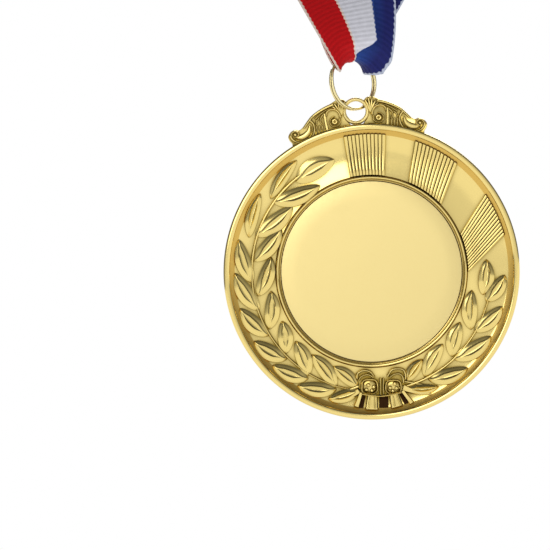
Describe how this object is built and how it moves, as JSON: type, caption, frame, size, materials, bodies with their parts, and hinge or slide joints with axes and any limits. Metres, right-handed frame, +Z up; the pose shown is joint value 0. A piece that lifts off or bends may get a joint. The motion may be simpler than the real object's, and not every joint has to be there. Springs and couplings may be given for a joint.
{
  "type": "medal",
  "caption": "Cast gold award medal with laurel wreath, rays, bow and scrolled crest, on a split ring and a striped neck ribbon.",
  "frame": {"origin": "middle of the ribbon's inner face where it rests on the nape of the neck", "axes": "+Z up, the medal faces -Y and hangs in front of the neck, +X to the viewer's right"},
  "size_m": [0.1295, 0.2261, 0.375],
  "materials": {
    "plain_gold": "polished gold-tone plating",
    "relief_gold": "polished gold-tone plating on cast relief",
    "ring_wire": "bright gold-tone plated wire",
    "ribbon_cloth": "ribbed woven ribbon, three stripes",
    "thread": "sewing thread"
  },
  "bodies": {
    "ribbon": {"ribbon_bight": "ribbon_cloth", "ribbon_front_leg": "ribbon_cloth", "ribbon_back_leg": "ribbon_cloth", "seam_thread": "thread"},
    "ring": {"split_ring": "ring_wire"},
    "medal": {"medal_disc": "plain_gold", "laurel_left": "relief_gold", "laurel_right": "relief_gold", "ray_panel_top": "relief_gold", "ray_panel_middle": "relief_gold", "ray_panel_side": "relief_gold", "wreath_bow": "relief_gold", "crest_wing_left": "relief_gold", "crest_wing_right": "relief_gold", "crest_scroll_left": "relief_gold", "crest_scroll_right": "relief_gold", "hanging_eye": "relief_gold"}
  },
  "joints": [
    {"name": "ring_swing", "type": "hinge", "parent": "ribbon", "child": "ring", "pos_m": [0, -0.21617, -0.28429], "axis": [0.7986, 0.6018, 0], "range_deg": [-20, 20]},
    {"name": "medal_swing", "type": "hinge", "parent": "ring", "child": "medal", "pos_m": [0, -0.21617, -0.29666], "axis": [0, 1, 0], "range_deg": [-25, 25]}
  ]
}
